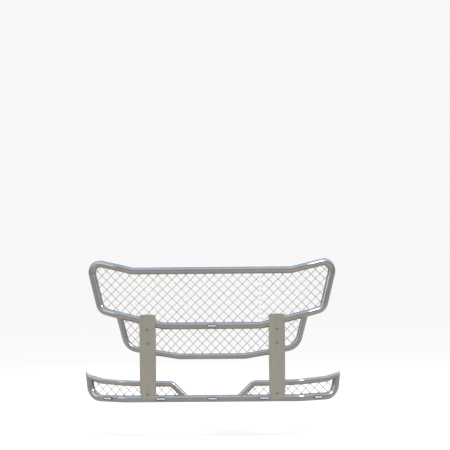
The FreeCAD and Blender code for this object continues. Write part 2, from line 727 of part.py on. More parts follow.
def post_shell(solids):
    shell = post_block(0, post_top_height(POST_OVERHANG), POST_FRONT_Y)
    open_top = post_top_height(POST_OVERHANG + 2 * POST_CROWN)
    shell = shell.cut(post_block(POST_WALL, open_top, POST_FRONT_Y + POST_WALL))
    for name in ("hoop_floor", "loop", "bottom", "light_bar"):
        shell = shell.cut(solids[name])
    return shell.cut(post_bolt_holes())


def post_cap():
    inner_front_y = POST_FRONT_Y + POST_WALL
    filled = post_block(POST_WALL, post_top_height(POST_OVERHANG), inner_front_y)
    below = post_block(POST_WALL, post_top_height(POST_OVERHANG - CAP_THICKNESS), inner_front_y)
    return filled.cut(below)


def lock_hole():
    return lock_axis(POST_FRONT_Y + 2 * POST_WALL, HINGE_Y, LOCK_SCREW_RADIUS + LOCK_SOCKET_CLEARANCE)


def post_back_plate(solids):
    half = POST_WIDTH / 2 - BACK_PLATE_INSET
    foot_z = BOTTOM_TUBE_Z + BACK_PLATE_FOOT_HEIGHT
    top_z = BOTTOM_TUBE_Z + post_top_height(BACK_PLATE_OVERHANG)
    low = Vector(POST_X - half, BACK_PLATE_FRONT_Y, foot_z)
    high = Vector(POST_X + half, BACK_PLATE_REAR_Y, top_z)
    plate = box(low, high).cut(post_bolt_holes()).cut(lock_hole())
    return plate.cut(solids["hoop_floor"])


def tube_packers(solids):
    """Packing blocks between the thinner tubes and the back plate, one at each crossing."""
    packers = []
    loop_height = height_between(POST_X, (LOOP_FLOOR_BEND_X, LOOP_FLOOR_HEIGHT),
                                 (LOOP_CORNER_X, LOOP_CORNER_HEIGHT))
    for height, name in ((loop_height, "loop"), (LIGHT_BAR_HEIGHT, "light_bar")):
        z = BOTTOM_TUBE_Z + height
        front_y = BACK_PLATE_FRONT_Y - LIGHT_TUBE_RADIUS / 2
        low = Vector(POST_X - PACKER_WIDTH / 2, front_y, z - PACKER_HEIGHT / 2)
        high = Vector(POST_X + PACKER_WIDTH / 2, BACK_PLATE_FRONT_Y, z + PACKER_HEIGHT / 2)
        packers.append(box(low, high).cut(solids[name]))
    return packers


def lock_socket():
    radius = LOCK_SCREW_RADIUS + LOCK_SOCKET_CLEARANCE + LOCK_SOCKET_WALL
    socket = lock_axis(BACK_PLATE_FRONT_Y - LOCK_SOCKET_LENGTH, BACK_PLATE_FRONT_Y, radius)
    return socket.cut(lock_hole())


def post_fasteners():
    """Cup-head bolts, spacers, washers and nuts of one post."""
    bolts, spacers, washers, nuts = [], [], [], []
    for height in POST_BOLT_HEIGHTS:
        start, end = bolt_span(POST_X, height)
        nut_at = end + Vector(0, POST_WASHER_THICKNESS, 0)
        tail = nut_at + Vector(0, nut_height(POST_BOLT_RADIUS) + BOLT_END, 0)
        head = rod(start - Vector(0, BOLT_HEAD_DEPTH, 0), start, BOLT_HEAD_RADIUS)
        head = head.makeFillet(BOLT_HEAD_ROUNDING, edges_in_front_of(head, start.y - BOLT_HEAD_DEPTH))
        bolts.append(head.fuse(rod(start, tail, POST_BOLT_RADIUS)).removeSplitter())
        washers.append(washer(end, ALONG_Y, POST_BOLT_RADIUS, POST_WASHER_RIM, POST_WASHER_THICKNESS))
        nuts.append(hex_nut(nut_at, ALONG_Y, POST_BOLT_RADIUS))
        spacer_start = start + Vector(0, POST_WALL, 0)
        spacer_end = end - Vector(0, BACK_PLATE_THICKNESS, 0)
        bore = rod(spacer_start, spacer_end, POST_BOLT_RADIUS + POST_BOLT_CLEARANCE)
        spacers.append(rod(spacer_start, spacer_end, SPACER_RADIUS).cut(bore))
    return bolts, spacers, washers, nuts


# --- Hinge, right-hand side ---

def hinge_axis(left_x, right_x, radius):
    start = Vector(POST_X + left_x, HINGE_Y, HINGE_Z)
    end = Vector(POST_X + right_x, HINGE_Y, HINGE_Z)
    return rod(start, end, radius)


def hinge_lugs(solids):
    """Two welded plates that carry the bush, each with a heel that meets the fold stop."""
    plate_front = BACK_PLATE_REAR_Y
    tube_grip_y = TUBE_PLANE_Y + HEEL_FRONT
    plate_foot_z = BOTTOM_TUBE_Z + BACK_PLATE_FOOT_HEIGHT
    body = [(plate_front, HINGE_Z + LUG_HEIGHT), (plate_front, plate_foot_z - BACK_PLATE_FOOT_GAP),
            (tube_grip_y, HINGE_Z),
            (HINGE_Y, HINGE_Z - LUG_EYE_RADIUS), (HINGE_Y, HINGE_Z + LUG_EYE_RADIUS),
            (HINGE_Y - LUG_REAR_EDGE, HINGE_Z + LUG_HEIGHT)]
    lugs = []
    for side in (-1, 1):
        left_x = side * LUG_OFFSET - LUG_THICKNESS / 2
        right_x = side * LUG_OFFSET + LUG_THICKNESS / 2
        lug = side_plate(body, POST_X + left_x, POST_X + right_x)
        lug = lug.fuse(hinge_axis(left_x, right_x, LUG_EYE_RADIUS))
        heel = box(Vector(POST_X + left_x, HINGE_Y - HEEL_FRONT, HINGE_Z - HEEL_DROP),
                   Vector(POST_X + right_x, HINGE_Y + HEEL_REAR, HINGE_Z))
        lug = lug.fuse(heel).removeSplitter()
        lug = lug.cut(solids["bottom"]).cut(hinge_axis(left_x, right_x, BUSH_RADIUS))
        lugs.append(lug)
    return Part.Compound(lugs)


def hinge_bush():
    reach = EAR_INNER_X - EAR_SIDE_GAP
    bore = hinge_axis(-reach, reach, HINGE_PIN_RADIUS + HINGE_RUNNING_FIT)
    return hinge_axis(-reach, reach, BUSH_RADIUS).cut(bore)


def hinge_pin():
    nut_end = EAR_OUTER_X + HINGE_WASHER_THICKNESS + nut_height(HINGE_PIN_RADIUS) + PIN_END
    shank = hinge_axis(-EAR_OUTER_X, nut_end, HINGE_PIN_RADIUS)
    head = hinge_axis(-EAR_OUTER_X - PIN_HEAD_THICKNESS, -EAR_OUTER_X, HINGE_PIN_RADIUS + PIN_HEAD_RIM)
    return shank.fuse(head).removeSplitter()


def hinge_washer():
    centre = Vector(POST_X + EAR_OUTER_X, HINGE_Y, HINGE_Z)
    return washer(centre, ALONG_X, HINGE_PIN_RADIUS, HINGE_WASHER_RIM, HINGE_WASHER_THICKNESS)


def hinge_nut():
    centre = Vector(POST_X + EAR_OUTER_X + HINGE_WASHER_THICKNESS, HINGE_Y, HINGE_Z)
    return hex_nut(centre, ALONG_X, HINGE_PIN_RADIUS)


# --- Chassis bracket, right-hand side ---

def lock_axis(start_y, end_y, radius):
    z = BOTTOM_TUBE_Z + LOCK_HEIGHT
    return rod(Vector(POST_X, start_y, z), Vector(POST_X, end_y, z), radius)


def buffer_axis(start_y, end_y, radius):
    z = BOTTOM_TUBE_Z + BUFFER_HEIGHT
    return rod(Vector(POST_X, start_y, z), Vector(POST_X, end_y, z), radius)


def chassis_bracket():
    """A flange, two side plates with hinge eyes, and a plate that carries lock and buffer."""
    flange_front = -FLANGE_THICKNESS
    flange = box(Vector(POST_X - BRACKET_WIDTH / 2, flange_front, FLANGE_LOW_Z),
                 Vector(POST_X + BRACKET_WIDTH / 2, 0, FLANGE_TOP_Z))
    shelf_z = FLANGE_TOP_Z - LOCK_PLATE_HEIGHT
    notch_y = HINGE_Y + EAR_NOTCH_DEPTH
    side = [(HINGE_Y, HINGE_Z - EAR_EYE_RADIUS), (flange_front, FLANGE_LOW_Z + FLANGE_THICKNESS),
            (flange_front, FLANGE_TOP_Z), (LOCK_PLATE_FRONT_Y, FLANGE_TOP_Z),
            (LOCK_PLATE_FRONT_Y, shelf_z), (notch_y, shelf_z - EAR_NOTCH_DEPTH),
            (notch_y, HINGE_Z + EAR_EYE_RADIUS + EAR_NOTCH_DEPTH), (HINGE_Y, HINGE_Z + EAR_EYE_RADIUS)]
    bracket = flange
    for left_x in (-EAR_OUTER_X, EAR_INNER_X):
        right_x = left_x + EAR_PLATE_THICKNESS
        plate = side_plate(side, POST_X + left_x, POST_X + right_x)
        bracket = bracket.fuse(plate).fuse(hinge_axis(left_x, right_x, EAR_EYE_RADIUS))
    lock_plate = box(Vector(POST_X - EAR_INNER_X, LOCK_PLATE_FRONT_Y, shelf_z),
                     Vector(POST_X + EAR_INNER_X, LOCK_PLATE_REAR_Y, FLANGE_TOP_Z))
    bracket = bracket.fuse(lock_plate).removeSplitter()
    pin_hole_radius = HINGE_PIN_RADIUS + HINGE_RUNNING_FIT
    bracket = bracket.cut(hinge_axis(-EAR_OUTER_X, EAR_OUTER_X, pin_hole_radius))
    bracket = bracket.cut(stop_axis(-EAR_OUTER_X, EAR_OUTER_X, STOP_BOLT_RADIUS))
    thread_radius = LOCK_SCREW_RADIUS + LOCK_THREAD_FIT
    bracket = bracket.cut(lock_axis(LOCK_PLATE_FRONT_Y, LOCK_PLATE_REAR_Y, thread_radius))
    bracket = bracket.cut(buffer_axis(LOCK_PLATE_FRONT_Y, LOCK_PLATE_REAR_Y, BUFFER_STUD_RADIUS))
    for z in (-CHASSIS_BOLT_SPACING_Z / 2, CHASSIS_BOLT_SPACING_Z / 2):
        hole = rod(Vector(POST_X, flange_front, z), Vector(POST_X, 0, z), CHASSIS_HOLE_RADIUS)
        bracket = bracket.cut(hole)
    return bracket


def lock_boss():
    end_y = LOCK_PLATE_REAR_Y + LOCK_BOSS_LENGTH
    thread = lock_axis(LOCK_PLATE_REAR_Y, end_y, LOCK_SCREW_RADIUS + LOCK_THREAD_FIT)
    return lock_axis(LOCK_PLATE_REAR_Y, end_y, LOCK_SCREW_RADIUS + LOCK_BOSS_WALL).cut(thread)


def lock_tee_axis(radius):
    y = HINGE_Y + LOCK_SCREW_TAIL - LOCK_TEE_INSET
    z = BOTTOM_TUBE_Z + LOCK_HEIGHT
    half = LOCK_TEE_LENGTH / 2
    return rod(Vector(POST_X - half, y, z), Vector(POST_X + half, y, z), radius)


def lock_screw():
    tip_y = BACK_PLATE_FRONT_Y - LOCK_SOCKET_LENGTH
    screw = lock_axis(tip_y, HINGE_Y + LOCK_SCREW_TAIL, LOCK_SCREW_RADIUS)
    screw = screw.makeChamfer(LOCK_TIP_CHAMFER, edges_in_front_of(screw, tip_y))
    return screw.cut(lock_tee_axis(LOCK_TEE_RADIUS))


def rest_buffer():
    pad = buffer_axis(BACK_PLATE_REAR_Y + BUFFER_GAP, LOCK_PLATE_FRONT_Y, BUFFER_RADIUS)
    stud = buffer_axis(LOCK_PLATE_FRONT_Y, LOCK_PLATE_FRONT_Y + BUFFER_STUD_LENGTH, BUFFER_STUD_RADIUS)
    return pad.fuse(stud).removeSplitter()


def stop_axis(left_x, right_x, radius):
    start = Vector(POST_X + left_x, STOP_BOLT_Y, STOP_BOLT_Z)
    end = Vector(POST_X + right_x, STOP_BOLT_Y, STOP_BOLT_Z)
    return rod(start, end, radius)


def fold_stop_bolt():
    end_x = EAR_OUTER_X + nut_height(STOP_BOLT_RADIUS) + BOLT_END
    shank = stop_axis(-EAR_OUTER_X, end_x, STOP_BOLT_RADIUS)
    head_at = Vector(POST_X - EAR_OUTER_X - BOLT_HEAD_DEPTH, STOP_BOLT_Y, STOP_BOLT_Z)
    head = hexagon(head_at, ALONG_X, nut_flats(STOP_BOLT_RADIUS), BOLT_HEAD_DEPTH)
    return shank.fuse(head).removeSplitter()


def fold_stop_nut():
    return hex_nut(Vector(POST_X + EAR_OUTER_X, STOP_BOLT_Y, STOP_BOLT_Z), ALONG_X, STOP_BOLT_RADIUS)


# --- The whole guard ---

def paired(name, shape):
    """A right-hand piece and its left-hand twin, each in its own node."""
    return {name + "_right": shape, name + "_left": mirrored(shape)}


def grouped(shapes):
    """Identical small pieces on both sides, as separate solids of one node."""
    return Part.Compound(shapes + [mirrored(shape) for shape in shapes])


def all_pieces():
    solids = tube_solids()
    pieces = hoop_pieces()
    pieces["loop_tube"] = loop_tube(solids)
    pieces["bottom_tube"] = bottom_tube()
    pieces.update(paired("light_bar_tube", light_bar_tube(solids)))
    pieces.update(mesh_pieces(solids))
    pieces.update(lamp_pieces())
    pieces["cable_grommet"] = cable_grommet()
    pieces.update(paired("post_shell", post_shell(solids)))
    pieces.update(paired("post_cap", post_cap()))
    pieces.update(paired("post_back_plate", post_back_plate(solids)))
    pieces["tube_packers"] = grouped(tube_packers(solids))
    bolts, spacers, washers, nuts = post_fasteners()
    pieces["post_bolts"] = grouped(bolts)
    pieces["post_bolt_spacers"] = grouped(spacers)
    pieces["post_washers"] = grouped(washers)
    pieces["post_nuts"] = grouped(nuts)
    pieces.update(paired("lock_socket", lock_socket()))
    pieces.update(paired("hinge_lugs", hinge_lugs(solids)))
    pieces.update(paired("hinge_bush", hinge_bush()))
    pieces.update(paired("hinge_pin", hinge_pin()))
    pieces["hinge_washers"] = grouped([hinge_washer()])
    pieces["hinge_nuts"] = grouped([hinge_nut()])
    pieces.update(paired("chassis_bracket", chassis_bracket()))
    pieces.update(paired("lock_boss", lock_boss()))
    pieces.update(paired("lock_screw", lock_screw()))
    pieces.update(paired("lock_tee", lock_tee_axis(LOCK_TEE_RADIUS)))
    pieces.update(paired("rest_buffer", rest_buffer()))
    pieces["fold_stop_bolts"] = grouped([fold_stop_bolt()])
    pieces["fold_stop_nuts"] = grouped([fold_stop_nut()])
    return pieces


def main():
    os.makedirs("parts", exist_ok=True)
    for name, shape in all_pieces().items():
        shape.exportStep("parts/" + name + ".step")
        print(name, len(shape.Solids), "solids", round(shape.Volume / 1000), "cm3",
              "valid" if shape.isValid() else "NOT VALID")


main()
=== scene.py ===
import json
import math

import bmesh
import bpy
import numpy as np
from mathutils import Matrix, Vector
from mathutils.bvhtree import BVHTree


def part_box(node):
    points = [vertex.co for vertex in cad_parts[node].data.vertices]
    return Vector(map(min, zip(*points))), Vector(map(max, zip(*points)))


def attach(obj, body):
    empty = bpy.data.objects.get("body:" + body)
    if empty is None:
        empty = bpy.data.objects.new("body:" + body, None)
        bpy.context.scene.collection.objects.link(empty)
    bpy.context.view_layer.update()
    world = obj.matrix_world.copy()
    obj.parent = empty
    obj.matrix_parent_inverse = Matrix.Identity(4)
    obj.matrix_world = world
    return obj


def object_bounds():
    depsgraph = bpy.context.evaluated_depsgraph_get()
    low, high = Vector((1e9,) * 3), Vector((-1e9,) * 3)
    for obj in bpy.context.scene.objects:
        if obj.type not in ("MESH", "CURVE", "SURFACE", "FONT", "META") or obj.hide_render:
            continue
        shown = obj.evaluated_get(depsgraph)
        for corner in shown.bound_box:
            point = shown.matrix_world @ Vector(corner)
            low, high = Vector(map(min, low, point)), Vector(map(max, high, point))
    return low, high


# Looks of the front grille guard, in metres and watts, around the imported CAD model.

# --- Camera: a long lens, level, to the right of the guard's middle ---
CAMERA_DISTANCE = 16.5
CAMERA_SIDE = 0.30
CAMERA_ABOVE_BOTTOM_TUBE = 1.61
CAMERA_AIM_X = 0.128
CAMERA_LENS_MM = 142.2
CAMERA_ROLL_DEGREES = -0.5

# --- Studio ---
FLOOR_DROP = 0.34
FLOOR_SIZE = 120.0
FLOOR_COLOUR = (0.88, 0.88, 0.88)
BACKGROUND_COLOUR = (0.935, 0.935, 0.935)
SOFT_LIGHT_COLOUR = (1.16, 1.145, 1.12)
# Painted shade: the floor's colour for glossy rays only, darker and browner than the camera sees it, so
# the metal mirrors a shaded ground.
MIRRORED_GROUND_SHADE = (0.46, 0.42, 0.38)
# Colours from straight down (0) through eye level (0.5) to straight up (1).
SKY_STOPS = [(0.0, (0.40, 0.37, 0.33)),
             (0.49, (0.28, 0.27, 0.25)),
             (0.54, (0.36, 0.41, 0.43)),
             (0.72, (0.54, 0.63, 0.76)),
             (0.92, (0.86, 0.96, 1.14)),
             (1.0, (0.66, 0.78, 1.05))]
# Each light's name, place, what it points at, width and height, power and colour.
LIGHTS = [("key", (5.5, -6.0, 7.5), (0.2, -0.2, 0.4), (2.4, 2.4), 260, (1.0, 0.97, 0.92)),
          ("fill", (-6.0, -5.0, 3.5), (0, -0.2, 0.4), (4.0, 4.0), 50, (0.86, 0.93, 1.0)),
          ("back", (-1.0, 5.5, 4.5), (0, 0, 0.5), (5.0, 2.5), 90, (1.0, 1.0, 1.0))]

# --- Welds ---
TUBE_BEAD_RADIUS = 0.0022
PLATE_BEAD_RADIUS = 0.0030
CAP_BEAD_RADIUS = 0.0011
BEAD_STEP = 0.0016
BEAD_SIDES = 8
RIPPLE_PITCH = 0.0042
RIPPLE_DEPTH = 0.16
BEAD_END_SWELL = 0.45
WIRE_RADIUS = 0.00275
CROSSING_SPOT = (0.0040, 0.0040, 0.0052)
WIRE_END_SPOT = (0.0052, 0.0052, 0.0026)
WIRE_END_REACH = 0.006
PARALLEL_LIMIT = 1e-12
SEAM_JOIN_DISTANCE = 1e-5
CONTACT_TOLERANCE = 0.0005
TUBE_CONTACT_TOLERANCE = 0.001
SHARP_EDGE_DEGREES = 25.0
INNER_CORNER_DEGREES = 60.0
RING_PAIR_DISTANCE = 0.012
CAP_TOP_BAND = 0.012
SHORTEST_TUBE_SEAM = 0.10
SHORTEST_LUG_SEAM = 0.02
SHORTEST_BRACKET_CORNER = 0.03
SHORTEST_CAP_SEAM = 0.06

# --- Light chips behind the lamp lenses ---
CHIPS_PER_LAMP = 4
CHIP_SIZE = 0.0046
CHIP_DEPTH = 0.0016

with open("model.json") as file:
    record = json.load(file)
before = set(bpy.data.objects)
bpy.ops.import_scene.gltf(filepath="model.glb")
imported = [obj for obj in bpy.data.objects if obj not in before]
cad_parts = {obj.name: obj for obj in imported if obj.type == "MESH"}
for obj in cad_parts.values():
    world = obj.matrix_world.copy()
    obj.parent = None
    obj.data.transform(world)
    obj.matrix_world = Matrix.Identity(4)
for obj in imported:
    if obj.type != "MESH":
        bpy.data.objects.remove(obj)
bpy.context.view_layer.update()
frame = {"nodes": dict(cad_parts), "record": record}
NODES = frame["nodes"]
TUBES = ["hoop_top_tube", "hoop_bottom_tube", "loop_tube", "bottom_tube",
         "light_bar_tube_left", "light_bar_tube_right"]


# --- Node helpers ---

class Shader:
    """A procedural material, built node by node around one Principled shader.

    The colour and roughness it starts with show only where no texture is linked.
    """

    def __init__(self, name, colour, metallic=0.0, roughness=0.5, **inputs):
        self.material = bpy.data.materials.new(name)
        self.material.use_nodes = True
        self.tree = self.material.node_tree
        self.shader = self.tree.nodes["Principled BSDF"]
        self.shader.inputs["Base Color"].default_value = (*colour, 1)
        self.shader.inputs["Metallic"].default_value = metallic
        self.shader.inputs["Roughness"].default_value = roughness
        for label, value in inputs.items():
            self.shader.inputs[label.replace("_", " ")].default_value = value

    def node(self, kind, **values):
        node = self.tree.nodes.new(kind)
        for label, value in values.items():
            if label in node.inputs:
                node.inputs[label].default_value = value
            else:
                setattr(node, label, value)
        return node

    def link(self, output, target):
        self.tree.links.new(output, target)

    def place(self, scale=(1, 1, 1), rotation=(0, 0, 0)):
        """Object coordinates, which are the part's own metres, stretched by a scale."""
        coordinates = self.node("ShaderNodeTexCoord")
        mapping = self.node("ShaderNodeMapping")
        mapping.inputs["Scale"].default_value = scale
        mapping.inputs["Rotation"].default_value = rotation
        self.link(coordinates.outputs["Object"], mapping.inputs["Vector"])
        return mapping.outputs["Vector"]

    def noise(self, place, scale, detail=4.0, roughness=0.55):
        noise = self.node("ShaderNodeTexNoise", Scale=scale, Detail=detail, Roughness=roughness)
        self.link(place, noise.inputs["Vector"])
        return noise.outputs["Fac"]

    def ramp(self, factor, stops):
        ramp = self.node("ShaderNodeValToRGB")
        elements = ramp.color_ramp.elements
        while len(elements) < len(stops):
            elements.new(0.5)
        for element, (position, colour) in zip(elements, stops):
            element.position = position
            element.color = (*colour, 1)
        self.link(factor, ramp.inputs["Fac"])
        return ramp.outputs["Color"]

    def spread(self, factor, low, high, start=0.3, end=0.7):
        """A factor carried from its own range to low..high."""
        spread = self.node("ShaderNodeMapRange")
        spread.inputs["From Min"].default_value = start
        spread.inputs["From Max"].default_value = end
        spread.inputs["To Min"].default_value = low
        spread.inputs["To Max"].default_value = high
        self.link(factor, spread.inputs["Value"])
        return spread.outputs["Result"]

    def blend(self, first, second, factor, mode="MIX"):
        mix = self.node("ShaderNodeMix", data_type="RGBA", blend_type=mode)
        self.link(first, mix.inputs[6])
        self.link(second, mix.inputs[7])
        if isinstance(factor, float):
            mix.inputs[0].default_value = factor
        else:
            self.link(factor, mix.inputs[0])
        return mix.outputs[2]

    def bump(self, height, strength, distance, below=None):
        bump = self.node("ShaderNodeBump", Strength=strength, Distance=distance)
        self.link(height, bump.inputs["Height"])
        if below is not None:
            self.link(below, bump.inputs["Normal"])
        return bump.outputs["Normal"]

    def set(self, label, output):
        self.link(output, self.shader.inputs[label])


# --- Materials ---

def polished_stainless():
    """Polished tube, with fine scratches, soft waves and road film."""
    look = Shader("polished_stainless", (0.55, 0.55, 0.55), metallic=1.0, roughness=0.2)
    scratches = look.noise(look.place((6, 260, 260)), 6.0, 6.0, 0.65)
    waves = look.noise(look.place(), 9.0, 2.0)
    film = look.noise(look.place((1, 1, 1.6)), 5.0, 6.0, 0.6)
    colours = [(0.25, (0.44, 0.42, 0.39)), (0.5, (0.51, 0.50, 0.485)), (0.8, (0.56, 0.56, 0.56))]
    look.set("Base Color", look.ramp(film, colours))
    rough = look.node("ShaderNodeMath", operation="ADD")
    look.link(look.spread(scratches, 0.02, 0.09), rough.inputs[0])
    look.link(look.spread(film, 0.20, 0.10), rough.inputs[1])
    look.set("Roughness", rough.outputs[0])
    soft = look.bump(waves, 0.10, 0.002)
    look.set("Normal", look.bump(scratches, 0.05, 0.0002, soft))
    return look.material


def brushed_stainless():
    """Sheet brushed top to bottom, with a warm film and darker streaks."""
    look = Shader("brushed_stainless", (0.62, 0.60, 0.56), metallic=1.0, roughness=0.4)
    grain = look.noise(look.place((420, 420, 5)), 2.0, 5.0, 0.7)
    streaks = look.noise(look.place((30, 30, 1.2)), 2.0, 3.0)
    film = look.noise(look.place(), 3.5, 5.0)
    grain_tint = look.ramp(grain, [(0.3, (0.52, 0.495, 0.43)), (0.7, (0.67, 0.64, 0.56))])
    streak_tint = look.ramp(streaks, [(0.3, (0.53, 0.505, 0.44)), (0.7, (0.65, 0.62, 0.55))])
    look.set("Base Color", look.blend(grain_tint, streak_tint, 0.5))
    rough = look.node("ShaderNodeMath", operation="ADD")
    look.link(look.spread(grain, -0.05, 0.06), rough.inputs[0])
    look.link(look.spread(film, 0.34, 0.44), rough.inputs[1])
    look.set("Roughness", rough.outputs[0])
    look.set("Normal", look.bump(grain, 0.12, 0.0003))
    return look.material


def stainless_wire():
    """Drawn wire, gritty and a little straw coloured."""
    look = Shader("stainless_wire", (0.60, 0.58, 0.57), metallic=1.0, roughness=0.34)
    grit = look.noise(look.place(), 160.0, 4.0)
    film = look.noise(look.place(), 7.0, 4.0)
    look.set("Base Color", look.ramp(film, [(0.3, (0.50, 0.44, 0.38)), (0.7, (0.64, 0.57, 0.50))]))
    look.set("Roughness", look.spread(grit, 0.26, 0.46))
    look.set("Normal", look.bump(grit, 0.15, 0.0004))
    return look.material


def weld_metal():
    """Pickled weld, duller than the tube, with a straw tint."""
    look = Shader("weld_metal", (0.55, 0.53, 0.50), metallic=1.0, roughness=0.38)
    grit = look.noise(look.place(), 240.0, 5.0)
    tint = look.noise(look.place(), 60.0, 3.0)
    colours = [(0.3, (0.46, 0.42, 0.37)), (0.55, (0.58, 0.55, 0.51)), (0.75, (0.62, 0.61, 0.61))]
    look.set("Base Color", look.ramp(tint, colours))
    look.set("Roughness", look.spread(grit, 0.28, 0.5))
    look.set("Normal", look.bump(grit, 0.25, 0.0005))
    return look.material


def black_painted_steel():
    """Satin powder coat with orange peel, dusty and rubbed in places."""
    look = Shader("black_painted_steel", (0.022, 0.022, 0.024), roughness=0.42)
    peel = look.noise(look.place(), 420.0, 2.0)
    dust = look.noise(look.place(), 12.0, 6.0, 0.65)
    colours = [(0.35, (0.018, 0.018, 0.020)), (0.75, (0.055, 0.052, 0.047))]
    look.set("Base Color", look.ramp(dust, colours))
    look.set("Roughness", look.spread(dust, 0.36, 0.62))
    look.set("Normal", look.bump(peel, 0.20, 0.0004))
    return look.material


def zinc_plated_steel():
    """Zinc plating, yellowish to bluish, dulled in patches."""
    look = Shader("zinc_plated_steel", (0.60, 0.60, 0.58), metallic=1.0, roughness=0.34)
    spangle = look.noise(look.place(), 90.0, 3.0)
    dull = look.noise(look.place(), 25.0, 5.0)
    colours = [(0.3, (0.50, 0.49, 0.45)), (0.5, (0.60, 0.60, 0.60)), (0.7, (0.66, 0.68, 0.70))]
    look.set("Base Color", look.ramp(spangle, colours))
    look.set("Roughness", look.spread(dull, 0.26, 0.52))
    look.set("Normal", look.bump(dull, 0.12, 0.0005))
    return look.material


def polished_bolt():
    """Round bolt heads, greyer than the posts they stand on."""
    look = Shader("polished_bolt", (0.50, 0.48, 0.46), metallic=1.0, roughness=0.3)
    turned = look.noise(look.place(), 180.0, 3.0)
    look.set("Base Color", look.ramp(turned, [(0.3, (0.33, 0.34, 0.36)), (0.7, (0.45, 0.46, 0.48))]))
    look.set("Roughness", look.spread(turned, 0.22, 0.4))
    look.set("Normal", look.bump(turned, 0.1, 0.0003))
    return look.material


def bronze():
    """Sintered bronze, speckled with dark pores."""
    look = Shader("bronze", (0.50, 0.33, 0.16), metallic=1.0, roughness=0.4)
    pores = look.noise(look.place(), 500.0, 4.0)
    look.set("Base Color", look.ramp(pores, [(0.35, (0.30, 0.19, 0.09)), (0.6, (0.52, 0.35, 0.17))]))
    look.set("Roughness", look.spread(pores, 0.32, 0.5))
    look.set("Normal", look.bump(pores, 0.2, 0.0003))
    return look.material


def black_rubber():
    """Moulded rubber with a grey bloom."""
    look = Shader("black_rubber", (0.022, 0.022, 0.022), roughness=0.62)
    grain = look.noise(look.place(), 700.0, 3.0)
    bloom = look.noise(look.place(), 30.0, 5.0)
    colours = [(0.35, (0.014, 0.014, 0.015)), (0.75, (0.060, 0.057, 0.052))]
    look.set("Base Color", look.ramp(bloom, colours))
    look.set("Roughness", look.spread(grain, 0.5, 0.75))
    look.set("Normal", look.bump(grain, 0.25, 0.0003))
    return look.material


def chip_phosphor():
    """Unlit light chips: pale yellow phosphor with a faint speckle."""
    look = Shader("chip_phosphor", (0.92, 0.86, 0.50), roughness=0.45)
    speckle = look.noise(look.place(), 900.0, 2.0)
    look.set("Base Color", look.ramp(speckle, [(0.35, (0.88, 0.80, 0.42)), (0.65, (0.95, 0.91, 0.66))]))
    look.set("Normal", look.bump(speckle, 0.1, 0.0002))
    return look.material


def clear_lens():
    """Milky clear plastic with fine upright flutes."""
    look = Shader("clear_lens", (0.95, 0.96, 0.97), roughness=0.08,
                  IOR=1.49, Transmission_Weight=0.45)
    flutes = look.node("ShaderNodeTexWave", Scale=95.0, wave_type="BANDS", bands_direction="X")
    look.link(look.place(), flutes.inputs["Vector"])
    haze = look.noise(look.place(), 120.0, 3.0)
    look.set("Roughness", look.spread(haze, 0.05, 0.16))
    look.set("Normal", look.bump(flutes.outputs["Fac"], 0.3, 0.0006))
    return look.material


def lamp_reflector():
    """Facets behind the lens, with painted highlights and shade: each is palest at one spot and darker
    towards its edges.
    """
    look = Shader("lamp_reflector", (0.80, 0.82, 0.85), metallic=0.85, roughness=0.25)
    facets = look.node("ShaderNodeTexVoronoi", Scale=260.0)
    look.link(look.place(), facets.inputs["Vector"])
    # Painted highlight and shade: colour pale where a facet's distance is small, darker towards its
    # edges.
    colours = [(0.0, (0.9, 0.91, 0.93)), (0.8, (0.6, 0.62, 0.65))]
    look.set("Base Color", look.ramp(facets.outputs["Distance"], colours))
    look.set("Normal", look.bump(facets.outputs["Distance"], 0.4, 0.001))
    return look.material


MATERIALS = {
    "polished_stainless": polished_stainless(),
    "brushed_stainless": brushed_stainless(),
    "stainless_wire": stainless_wire(),
    "black_painted_steel": black_painted_steel(),
    "zinc_plated_steel": zinc_plated_steel(),
    "polished_bolt": polished_bolt(),
    "bronze": bronze(),
    "black_rubber": black_rubber(),
    "clear_lens": clear_lens(),
    "lamp_reflector": lamp_reflector(),
}
WELD_METAL = weld_metal()


def dress_cad_nodes():
    for subpart in frame["record"]["subparts"]:
        node = NODES[subpart["node"]]
        node.data.materials.clear()
        node.data.materials.append(MATERIALS[subpart["material_slot"]])


# --- Mesh helpers ---

def merged(name):
    """A CAD node's mesh with its seams joined, so that its edges can be followed."""
    mesh = bmesh.new()
    mesh.from_mesh(NODES[name].data)
    bmesh.ops.remove_doubles(mesh, verts=mesh.verts, dist=SEAM_JOIN_DISTANCE)
    return mesh


def chains(edges):
    """Edges joined end to end, as (points, closed) lines."""
    left = set(edges)
    lines = []
    while left:
        edge = left.pop()
        line = [edge.verts[0], edge.verts[1]]
        for end in (0, -1):
            while True:
                tip = line[end]
                onward = [other for other in tip.link_edges if other in left]
                if len(onward) != 1:
                    break
                left.discard(onward[0])
                after = onward[0].other_vert(tip)
                if end == 0:
                    line.insert(0, after)
                else:
                    line.append(after)
        closed = line[0] is line[-1]
        points = [vert.co.copy() for vert in (line[:-1] if closed else line)]
        lines.append((points, closed))
    return lines


def line_length(points, closed):
    ends = points + points[:1] if closed else points
    return sum((b - a).length for a, b in zip(ends, ends[1:]))


def contact_lines(name, neighbours, least_length, tolerance=CONTACT_TOLERANCE):
    """Sharp edges of one node that lie on its neighbours, where a welder would run a bead."""
    mesh = merged(name)
    trees = []
    for neighbour in neighbours:
        other = merged(neighbour)
        trees.append(BVHTree.FromBMesh(other))
        other.free()

    def touches(point):
        return any(tree.find_nearest(point, tolerance)[0] is not None for tree in trees)

    near = {vert for vert in mesh.verts if touches(vert.co)}
    sharp = [edge for edge in mesh.edges
             if edge.verts[0] in near and edge.verts[1] in near
             and len(edge.link_faces) == 2
             and math.degrees(edge.calc_face_angle()) > SHARP_EDGE_DEGREES
             and touches((edge.verts[0].co + edge.verts[1].co) / 2)]
    lines = [line for line in chains(sharp) if line_length(*line) > least_length]
    mesh.free()
    return lines


